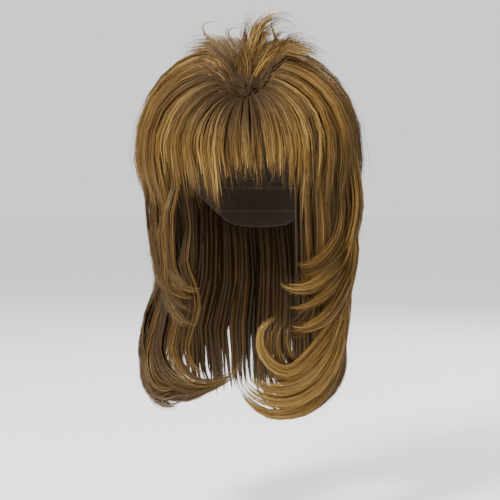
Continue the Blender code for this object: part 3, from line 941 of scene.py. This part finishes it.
# Middle layer
# The same fibre, sewn in wefts half way down the cap. Its ends are set to flick outwards at jaw level beside
# and behind the head, and to flip inwards below the chin next to the face.
# The locks are in the columns of the lower layer's.
MIDDLE_LEFT_LOCKS = (
    ("flip to the neck", 0.550, 1.10, 85, 88),
    ("lower flip", 0.595, 0.80, 80, 86),
    ("shoulder flick", 0.490, 0.75, 60, 10),
    ("side flick", 0.470, 0.80, 55, 0),
    ("back corner", 0.490, 0.80, 50, 0),
)
MIDDLE_RIGHT_LOCKS = (
    ("flip to the neck", 0.515, 1.00, 105, 92),
    ("lower flip", 0.570, 0.90, 85, 86),
    ("jaw flick", 0.375, 1.00, 75, 10),
    ("side flick", 0.390, 1.00, 70, 0),
    ("back corner", 0.450, 0.85, 50, 0),
)
MIDDLE_BACK_LOCKS = (
    ("first", 0.480, 0.9, 50, 0),
    ("second", 0.510, 0.8, 55, 10),
    ("third", 0.500, 0.9, 50, -10),
    ("fourth", 0.520, 0.8, 50, 10),
    ("fifth", 0.490, 0.9, 55, -10),
    ("sixth", 0.510, 0.8, 50, 0),
)
MIDDLE = weft_layer(0.5, LAYER_STEP)
# Painted shade: deep darkens the middle layer's hair, because it hangs in shadow under the top layer.
MID_HAIR = hair_colour("middle hair", 0.10, 0.12, 5, deep=0.11)
MIDDLE_ROWS = ((7, 1.0), (4, -0.6))
MIDDLE_LIE = {"loose": 0.9, "gather": 0.5, "drift": 0.3, "hang": 2, "turns": 6, "uneven": 0.035}
MIDDLE_CUT = {"Shortest": 0.82, "Bundle end": 0.97, "Frizz": 0.0024, "Open tip": 0.003}
for name, span, locks, split, fibres, seed in (
    ("middle_layer_left", (-BACK_CORNER, -MIDDLE_FRONT), MIDDLE_LEFT_LOCKS[::-1], (0.375, 2), 12, 21),
    ("middle_layer_right", (MIDDLE_FRONT, BACK_CORNER), MIDDLE_RIGHT_LOCKS, (0.355, 2), 12, 22),
    ("middle_layer_back", (BACK_CORNER, 360 - BACK_CORNER), MIDDLE_BACK_LOCKS, (0.380, 2), 8, 23),
):
    guides = guide_lines(
        MIDDLE, span, locks, WEFT_WAYS, MIDDLE_ROWS, seed, split=split, sway_of_layer=0.0035, **MIDDLE_LIE
    )
    hair = grow("hair_" + name, guides, MID_HAIR, seed, Fibres=fibres, **MIDDLE_CUT)
    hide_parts(name)

# The flicks and flips beside the face, in the columns of the listed curls.
# Their second column is painted shade: the flips on the left lie in shadow and are coloured darker than
# those on the right.
FLIPS_LEFT = (
    (8, 0.2, ((-100, -10, -95), (-97, -10, -125), (-93, -10, -150), (-94, -10, -172), (-103, -10, -192))),
    (7, 0.28, ((-98, -4, -100), (-94, -4, -132), (-90, -4, -162), (-90, -4, -184), (-98, -4, -206))),
    (7, 0.2, (
        (-98, -39, -74), (-96, -36, -115), (-98, -17, -151), (-88, -36, -181), (-76, -58, -205),
        (-58, -75, -217), (-40, -85, -221), (-25, -90, -219),
    )),
    (6, 0.28, (
        (-86, -46, -140), (-81, -50, -171), (-76, -57, -196), (-63, -72, -217), (-51, -81, -231),
        (-36, -88, -235),
    )),
    (6, 0.22, (
        (-74, -62, -160), (-70, -64, -187), (-69, -66, -210), (-63, -73, -230), (-51, -84, -243),
        (-40, -88, -247), (-31, -91, -246),
    )),
    (5, 0.18, (
        (-64, -76, -140), (-64, -71, -170), (-62, -71, -193), (-53, -78, -208), (-39, -85, -214),
        (-28, -89, -212),
    )),
)
# The same on the right, where the longest flip starts at the temple.
FLIPS_RIGHT = (
    (9, 0.05, (
        (108, -18, -75), (114, -18, -105), (116, -18, -132), (111, -17, -159), (101, -18, -183),
        (89, -49, -199), (75, -66, -210), (60, -77, -211), (50, -82, -207), (47, -83, -200),
    )),
    (8, 0.1, (
        (111, -18, -115), (113, -17, -140), (110, -17, -168), (102, -21, -193), (92, -50, -213),
        (78, -66, -224), (64, -76, -229), (52, -82, -226),
    )),
    (8, 0.0, (
        (109, -17, -145), (111, -17, -172), (107, -16, -198), (100, -39, -221), (89, -58, -240),
        (75, -72, -249), (63, -79, -249), (55, -83, -244),
    )),
    (6, 0.1, (
        (104, -21, -100), (107, -18, -130), (104, -17, -156), (96, -36, -177), (84, -56, -191),
        (71, -69, -198), (61, -76, -197),
    )),
    (6, 0.15, (
        (100, -30, -130), (98, -30, -155), (90, -47, -175), (78, -63, -187), (66, -73, -190),
        (57, -79, -186),
    )),
)
FLIP_CUT = {"Fibres": 9, "Shortest": 0.86, "Bundle end": 0.98, "Frizz": 0.0016, "Open tip": 0.003}
for name, node, locks, seed in (
    ("flips_left", "middle_layer_left", FLIPS_LEFT, 24),
    ("flips_right", "middle_layer_right", FLIPS_RIGHT, 25),
):
    guides = set_locks(locks, ((5, 0.8), (3, -0.6)), seed, stand_off=0.008)
    hair = grow("hair_" + name, guides, CURLED_HAIR, seed, begun=0.14, **FLIP_CUT)
    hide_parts(node)


# Top layer
# Long smooth synthetic hair, sewn in at the whorl at the front of the crown. It lies over the dome, darker
# at the root, and ends in feathered flicks at ear level.
CROWN_LIFT = 0.033
BROW_DIP = 0.031
WHORL_ACROSS = 0.012
WHORL_FORWARD = 0.056
WHORL_REACH = 0.014
WHORL_SHARE = 0.10
LIFTED_SHARE = 0.36
DOME_SQUARENESS = 2.2
TOP_SETTLES = 0.012
TOP_SETTLE_RUN = 0.07
# The locks are in the columns of the lower layer's.
TOP_LEFT_LOCKS = (
    ("cheek", 0.320, 1.0, 25, 60),
    ("ear front", 0.335, 0.9, 30, 30),
    ("ear", 0.345, 0.8, 30, 10),
    ("ear back", 0.330, 0.8, 40, 0),
    ("back corner", 0.345, 0.8, 45, 0),
)
TOP_RIGHT_LOCKS = (
    ("cheek", 0.315, 0.9, 35, 60),
    ("ear front", 0.310, 0.8, 55, 20),
    ("ear", 0.310, 0.7, 65, 0),
    ("ear back", 0.325, 0.8, 50, 0),
    ("back corner", 0.340, 0.8, 45, 0),
)
TOP_BACK_LOCKS = (
    ("first", 0.330, 0.8, 50, 0),
    ("second", 0.350, 0.8, 45, 10),
    ("third", 0.335, 0.9, 50, -10),
    ("fourth", 0.345, 0.8, 50, 10),
    ("fifth", 0.330, 0.9, 45, -10),
    ("sixth", 0.345, 0.8, 50, 0),
)


def cap_height(x, y):
    """Height of the outside of the cap over a point of its plan."""
    deep = (CAP_FRONT if y < 0 else CAP_BACK) + CAP_WALL
    out = min(math.hypot(x / (CAP_HALF_WIDTH + CAP_WALL), y / deep), 0.999)
    return (CAP_DOME + CAP_WALL) * (1 - out**CAP_SQUARENESS) ** (1 / CAP_SQUARENESS) - CAP_DOME


def dome_layer(stand_off):
    """Surface of the hair that grows from the whorl. Past way 1 it hangs."""
    sizes = (CAP_HALF_WIDTH, CAP_HALF_WIDTH, CAP_FRONT, CAP_BACK)
    left, right, front, back = (share * size + stand_off for share, size in zip(COLUMN[0][2:], sizes))

    def surface(angle, way):
        if way > 1:
            settled = stand_off - TOP_SETTLES * ease((way - 1) / TOP_SETTLE_RUN)
            return column_point(angle, WIDEST_Z - (way - 1), settled)
        share = math.sin(math.pi / 2 * way)
        begin = Vector((WHORL_ACROSS, -WHORL_FORWARD - WHORL_REACH * math.cos(angle), 0))
        plan = begin.lerp(ring(angle, right, left, front, back, 0), share)
        across, along = (right if plan.x > 0 else left), (back if plan.y > 0 else front)
        out = min(math.hypot(plan.x / across, plan.y / along), 1)
        rise = CROWN_LIFT - WIDEST_Z - BROW_DIP * max(math.cos(angle), 0) ** 2
        top = WIDEST_Z + rise * (1 - out**DOME_SQUARENESS) ** (1 / DOME_SQUARENESS)
        seat = cap_height(plan.x, plan.y) + (LOCK_EDGE * root_share(way) + LAYER_GAP) * 1.3
        lifted = seat + (top - seat) * ease((share - WHORL_SHARE) / (LIFTED_SHARE - WHORL_SHARE))
        return Vector((plan.x, plan.y, max(lifted, seat) if out < 0.8 else top))

    return surface


TOP = dome_layer(2 * LAYER_STEP)
DOME_WAYS = (0.02, 0.08, 0.15, 0.23, 0.32, 0.43, 0.55, 0.68, 0.84, 1.0)
TOP_HAIR = hair_colour("top hair", 0.20, 0.12, 8, deep=0.03)
SHADED_HAIR = hair_colour("shaded top hair", 0.20, -0.36, 8, deep=-0.08)
TOP_ROWS = ((9, 1.0), (4, -0.6))
TOP_LIE = {"loose": 1.2, "gather": 0.4, "drift": 0.8, "hang": 3, "turns": 4, "uneven": 0.03}
TOP_CUT = {"Shortest": 0.70, "Bundle end": 0.95, "Frizz": 0.0032, "Open tip": 0.005}
for name, span, locks, finish, over, fibres, seed in (
    ("top_layer_left", (-BACK_CORNER, -FRINGE_REACH), TOP_LEFT_LOCKS[::-1], TOP_HAIR, 0.10, 15, 31),
    ("top_layer_right", (FRINGE_REACH, BACK_CORNER), TOP_RIGHT_LOCKS, SHADED_HAIR, 0.10, 15, 32),
    ("top_layer_back", (BACK_CORNER, 360 - BACK_CORNER), TOP_BACK_LOCKS, TOP_HAIR, 0.20, 8, 33),
):
    guides = guide_lines(
        TOP, span, locks, DOME_WAYS, TOP_ROWS, seed, over=over, sway_of_layer=0.004, **TOP_LIE
    )
    hair = grow("hair_" + name, guides, finish, seed, Fibres=fibres, **TOP_CUT)
    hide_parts(name)


# Fringe
# Short feathered synthetic hair, sewn in at the whorl with the top layer. It falls over the forehead in
# pointed, see-through ends, with one longer point over the eye on the viewer's left.
# The locks are in the columns of the lower layer's.
FRINGE_LOCKS = (
    ("temple, left", 0.320, 0.7, 25, 60),
    ("brow, left", 0.318, 0.9, 25, 80),
    ("outer eye, left", 0.322, 0.9, 20, 90),
    ("long point", 0.352, 0.9, 20, 150),
    ("bridge", 0.292, 0.8, 25, 60),
    ("inner eye, right", 0.274, 0.8, 25, 60),
    ("eye, right", 0.274, 0.8, 25, 70),
    ("outer eye, right", 0.284, 0.8, 25, 80),
    ("brow, right", 0.305, 0.8, 25, 60),
    ("temple, right", 0.345, 0.8, 20, 40),
)
FRINGE_SPAN = (-FRINGE_REACH, FRINGE_REACH)
FRINGE_ROWS = ((7, 1.0), (4, -0.6))
FRINGE_LIE = {"loose": 1.4, "gather": 0.4, "drift": 0.8, "hang": 2, "turns": 2, "uneven": 0.034}
FRINGE_WAYS = DOME_WAYS[:9]
FRINGE_CUT = {"Fibres": 8, "Shortest": 0.66, "Bundle end": 0.88, "Frizz": 0.0034, "Open tip": 0.005}
FRINGE_HAIR = hair_colour("fringe hair", 0.23, 0.36, 9)
guides = guide_lines(
    TOP, FRINGE_SPAN, FRINGE_LOCKS, FRINGE_WAYS, FRINGE_ROWS, 41, over=0.02, sway_of_layer=0.003,
    **FRINGE_LIE,
)
hair = grow("hair_fringe", guides, FRINGE_HAIR, 41, **FRINGE_CUT)
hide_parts("fringe")


# Crown layer
# The shortest synthetic hair, sewn in over the top layer and teased up on top of the head, so that its ends
# stand off the dome in a raised tuft and loose wisps.
CROWN_FRONT = FRINGE_REACH + 2 * LOCK_SPAN
CROWN_SPAN = (CROWN_FRONT, 360 - CROWN_FRONT)
# Each lock: name, where its turn starts on the way over the dome, shares of the curl radius, degrees turned.
CROWN_LOCKS = (
    ("front right", 0.36, 0.9, 14),
    ("right", 0.38, 0.9, 16),
    ("right corner", 0.38, 0.8, 30),
    ("back right", 0.38, 0.8, 60),
    ("lifted lock", 0.34, 1.1, 95),
    ("behind the tuft", 0.40, 0.8, 50),
    ("centre", 0.36, 0.9, 80),
    ("back left", 0.38, 0.7, 45),
    ("left corner", 0.38, 0.8, 25),
    ("left", 0.36, 0.8, 14),
    ("left side", 0.36, 0.8, 12),
    ("front left", 0.36, 0.8, 12),
)


def crown(angle, way):
    """The crown hair lies on the ridges of the top layer."""
    at, _, out = lay(TOP, angle, way)
    return at + out * ((LOCK_EDGE + LOCK_RIDGE) * root_share(way) + LAYER_GAP)


CROWN_ROWS = ((4, 1.0), (2, -0.6))
CROWN_WAYS = DOME_WAYS[:5]
CROWN_LIE = {"loose": 1.5, "gather": 0.6, "drift": 0.5, "hang": 2, "turns": 4}
CROWN_CUT = {"Fibres": 11, "Shortest": 0.7, "Bundle end": 0.9, "Frizz": 0.004, "Open tip": 0.007}
CROWN_STRAYS = {"Stray share": 0.12, "Stray reach": 0.014}
guides = guide_lines(crown, CROWN_SPAN, CROWN_LOCKS, CROWN_WAYS, CROWN_ROWS, 51, **CROWN_LIE)
hair = grow("hair_crown_layer", guides, TOP_HAIR, 51, darker=-0.12, **CROWN_CUT, **CROWN_STRAYS)
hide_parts("crown_layer")

# The hair over the whorl is combed out from it in short arcs that cross and hide the parting.
ROOT_ARCS = 170
ARC_STEPS = 7
ARC_HALF_WIDTH = 0.0028
ROOT_CUT = {"Fibres": 4, "Shortest": 0.6, "Bundle end": 0.8, "Frizz": 0.003, "Open tip": 0.004}
chance = random.Random(54)
guides = []
for i in range(ROOT_ARCS):
    angle = math.tau * (i + chance.uniform(-0.5, 0.5)) / ROOT_ARCS
    begins = 0.08 * chance.random()
    reach = chance.uniform(0.16, 0.32)
    turn = chance.uniform(-0.35, 0.35)
    along = WHORL_REACH * (math.cos(angle) - chance.uniform(-1.1, 0.8))
    high = chance.uniform(0.0045, 0.0075)
    guide = []
    for k in range(ARC_STEPS + 1):
        t = k / ARC_STEPS
        at, across, out = lay(TOP, angle + turn * t, begins + reach * t)
        at = at + out * high * math.sin(math.pi * (0.25 + 0.6 * t))
        at.y += along * (1 - ease(1.2 * t))
        seat = cap_height(at.x, at.y) + 0.005 + high * 0.6
        at.z = seat + (at.z - seat) * ease(1.4 * t)
        side = across * ARC_HALF_WIDTH * (0.35 + 0.65 * math.sin(math.pi * t))
        guide.append((at, side, out * 0.0006))
    guides.append((0.0, begins * 0.16, guide))
hair = grow("hair_roots", guides, TOP_HAIR, 54, begun=0.004, **ROOT_CUT)
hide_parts("crown_layer")

# The raised tuft, in the columns of the listed curls.
TUFT = (
    (7, 0.0, ((4, -38, -6), (3, -30, 8), (5, -22, 22), (8, -16, 36), (14, -12, 48), (24, -10, 55))),
    (6, 0.0, ((8, -38, -6), (10, -30, 8), (14, -22, 22), (20, -16, 36), (30, -12, 47), (42, -8, 50))),
    (7, 0.0, ((-2, -38, -6), (-5, -28, 8), (-9, -20, 20), (-12, -14, 31))),
    (7, 0.0, ((-6, -40, -8), (-14, -30, 6), (-22, -22, 18), (-28, -16, 27))),
    (8, 0.0, ((12, -38, -6), (20, -26, 10), (29, -16, 24), (40, -8, 34), (52, -2, 36))),
    (9, 0.0, ((2, -50, -14), (-2, -40, 2), (-7, -30, 16), (-15, -20, 27), (-24, -14, 33))),
    (10, 0.0, ((4, -52, -13), (3, -42, 3), (1, -32, 17), (-3, -22, 29), (-8, -14, 37))),
    (9, 0.0, ((9, -50, -14), (11, -40, 2), (15, -30, 17), (22, -20, 29), (32, -12, 37))),
    (8, 0.0, ((14, -48, -14), (22, -38, 2), (31, -28, 16), (42, -18, 28), (54, -10, 35))),
    (8, 0.0, ((0, -48, -14), (-10, -38, 1), (-21, -28, 13), (-33, -18, 23), (-46, -10, 27))),
    (9, 0.0, ((-4, -46, -14), (-22, -34, 3), (-40, -22, 16), (-58, -14, 18), (-74, -8, 8))),
    (8, 0.0, ((-4, -42, -10), (-16, -32, 7), (-31, -22, 19), (-47, -14, 22), (-64, -8, 15))),
    (9, 0.0, ((13, -46, -14), (30, -32, 4), (49, -20, 18), (67, -10, 17), (82, 0, 2))),
    (9, 0.0, ((12, -44, -12), (25, -30, 9), (42, -18, 28), (57, -8, 34), (72, 2, 26), (85, 8, 10))),
    (3, 0.0, (
        (6, -30, 14), (9, -22, 30), (14, -16, 44), (23, -12, 55), (34, -8, 60), (45, -6, 56), (54, -4, 46),
    )),
    (3, 0.0, ((9, -28, 14), (13, -20, 30), (19, -14, 42), (29, -10, 50), (41, -8, 52), (51, -6, 46))),
    (3, 0.0, ((5, -30, 12), (6, -22, 27), (9, -16, 42), (16, -13, 54), (27, -10, 61), (38, -8, 60))),
)
TUFT_CUT = {"Fibres": 9, "Shortest": 0.55, "Bundle end": 0.6, "Frizz": 0.004, "Open tip": 0.007}
guides = set_locks(TUFT, ((4, 0.8), (2, -0.6)), 52, gather=0.3)
hair = grow("hair_tuft", guides, TOP_HAIR, 52, darker=-0.1, begun=0.05, **TUFT_CUT)
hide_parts("crown_layer")

# The loose wisps over the tuft, in the same columns. They are bare fibres without bundles.
WISPS = (
    (1.5, 0.0, ((4, -24, 15), (2, -18, 34), (4, -16, 51), (10, -14, 63), (20, -12, 71))),
    (1.2, 0.0, ((2, -24, 17), (-1, -18, 34), (1, -16, 49), (6, -14, 59), (14, -12, 66))),
    (2, 0.0, (
        (-1, -24, 15), (-10, -20, 30), (-15, -18, 41), (-14, -16, 48), (-6, -16, 50), (-2, -16, 46),
    )),
    (1.5, 0.0, ((-14, -20, 12), (-29, -14, 29), (-44, -12, 38), (-57, -12, 36), (-66, -12, 27))),
    (1.5, 0.0, (
        (-12, -22, 14), (-26, -16, 31), (-38, -14, 44), (-41, -14, 54), (-35, -14, 56), (-24, -14, 57),
    )),
    (3.5, 0.0, ((-7, -26, 7), (-18, -20, 22), (-29, -16, 35), (-36, -14, 43), (-32, -14, 43))),
    (3, 0.0, ((-2, -28, 5), (-14, -22, 18), (-25, -18, 26), (-34, -16, 29))),
    (1.5, 0.0, ((27, -18, 15), (28, -12, 30), (36, -8, 43), (47, -6, 46), (56, -4, 41))),
    (1.2, 0.0, ((33, -14, 18), (38, -10, 30), (47, -6, 38), (57, -4, 37))),
)
WISP_CUT = {"Fibres": 6, "Fibre width": 0.0007, "Shortest": 0.75, "Frizz": 0.002, "Open tip": 0.006}
guides = set_locks(WISPS, ((2, 0.5),), 53, gather=0.3, steps=4, loose=0.4)
hair = grow("hair_wisps", guides, TOP_HAIR, 53, begun=0.06, Bundles=False, **WISP_CUT)
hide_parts("crown_layer")


# Floor, light and camera
# A plain pale floor well below the held-up wig, soft studio light, and the camera at the photo's angle.
FLOOR_HEIGHT = -0.46
FLOOR_RADIUS = 30
bpy.ops.mesh.primitive_circle_add(
    vertices=96, radius=FLOOR_RADIUS, fill_type="NGON", location=(0, 0, FLOOR_HEIGHT)
)
floor = bpy.context.active_object
floor.name = "floor"
pale = bpy.data.materials.new("floor")
pale.use_nodes = True
pale.node_tree.nodes["Principled BSDF"].inputs["Base Color"].default_value = (0.94, 0.94, 0.94, 1)
pale.node_tree.nodes["Principled BSDF"].inputs["Roughness"].default_value = 0.9
floor.data.materials.append(pale)

world = bpy.data.worlds.new("studio")
world.use_nodes = True
world.node_tree.nodes["Background"].inputs[0].default_value = (1, 1, 1, 1)
world.node_tree.nodes["Background"].inputs[1].default_value = 1.15
bpy.context.scene.world = world

LIT_PLACE = Vector((0, 0, -0.12))
for name, place, size, power in (
    ("key", (-0.9, -1.7, 1.3), 0.7, 120),
    ("fill", (1.5, -1.4, 0.0), 1.0, 12),
    ("back", (0.6, 1.8, 1.2), 1.0, 40),
):
    light = bpy.data.lights.new(name, "AREA")
    light.shape = "DISK"
    light.size = size
    light.energy = power
    lamp = bpy.data.objects.new(name, light)
    lamp.location = place
    lamp.rotation_euler = (LIT_PLACE - Vector(place)).to_track_quat("-Z", "Y").to_euler()
    bpy.context.collection.objects.link(lamp)

AZIMUTH = math.radians(10)
ELEVATION = math.radians(2)
DISTANCE = 1.4
FIELD = 0.52
SENSOR = 36
AIM_ACROSS = 0.0031
AIM_HEIGHT = -0.177
lens = bpy.data.cameras.new("camera")
lens.sensor_width = SENSOR
lens.lens = SENSOR * DISTANCE / FIELD
camera = bpy.data.objects.new("camera", lens)
bpy.context.collection.objects.link(camera)
right = Vector((math.cos(AZIMUTH), math.sin(AZIMUTH), 0))
back = Vector((math.sin(AZIMUTH), -math.cos(AZIMUTH), 0)) * math.cos(ELEVATION)
back.z = math.sin(ELEVATION)
aim = right * AIM_ACROSS + Vector((0, 0, AIM_HEIGHT))
camera.location = aim + back * DISTANCE
camera.rotation_euler = (aim - camera.location).to_track_quat("-Z", "Y").to_euler()
bpy.context.scene.camera = camera
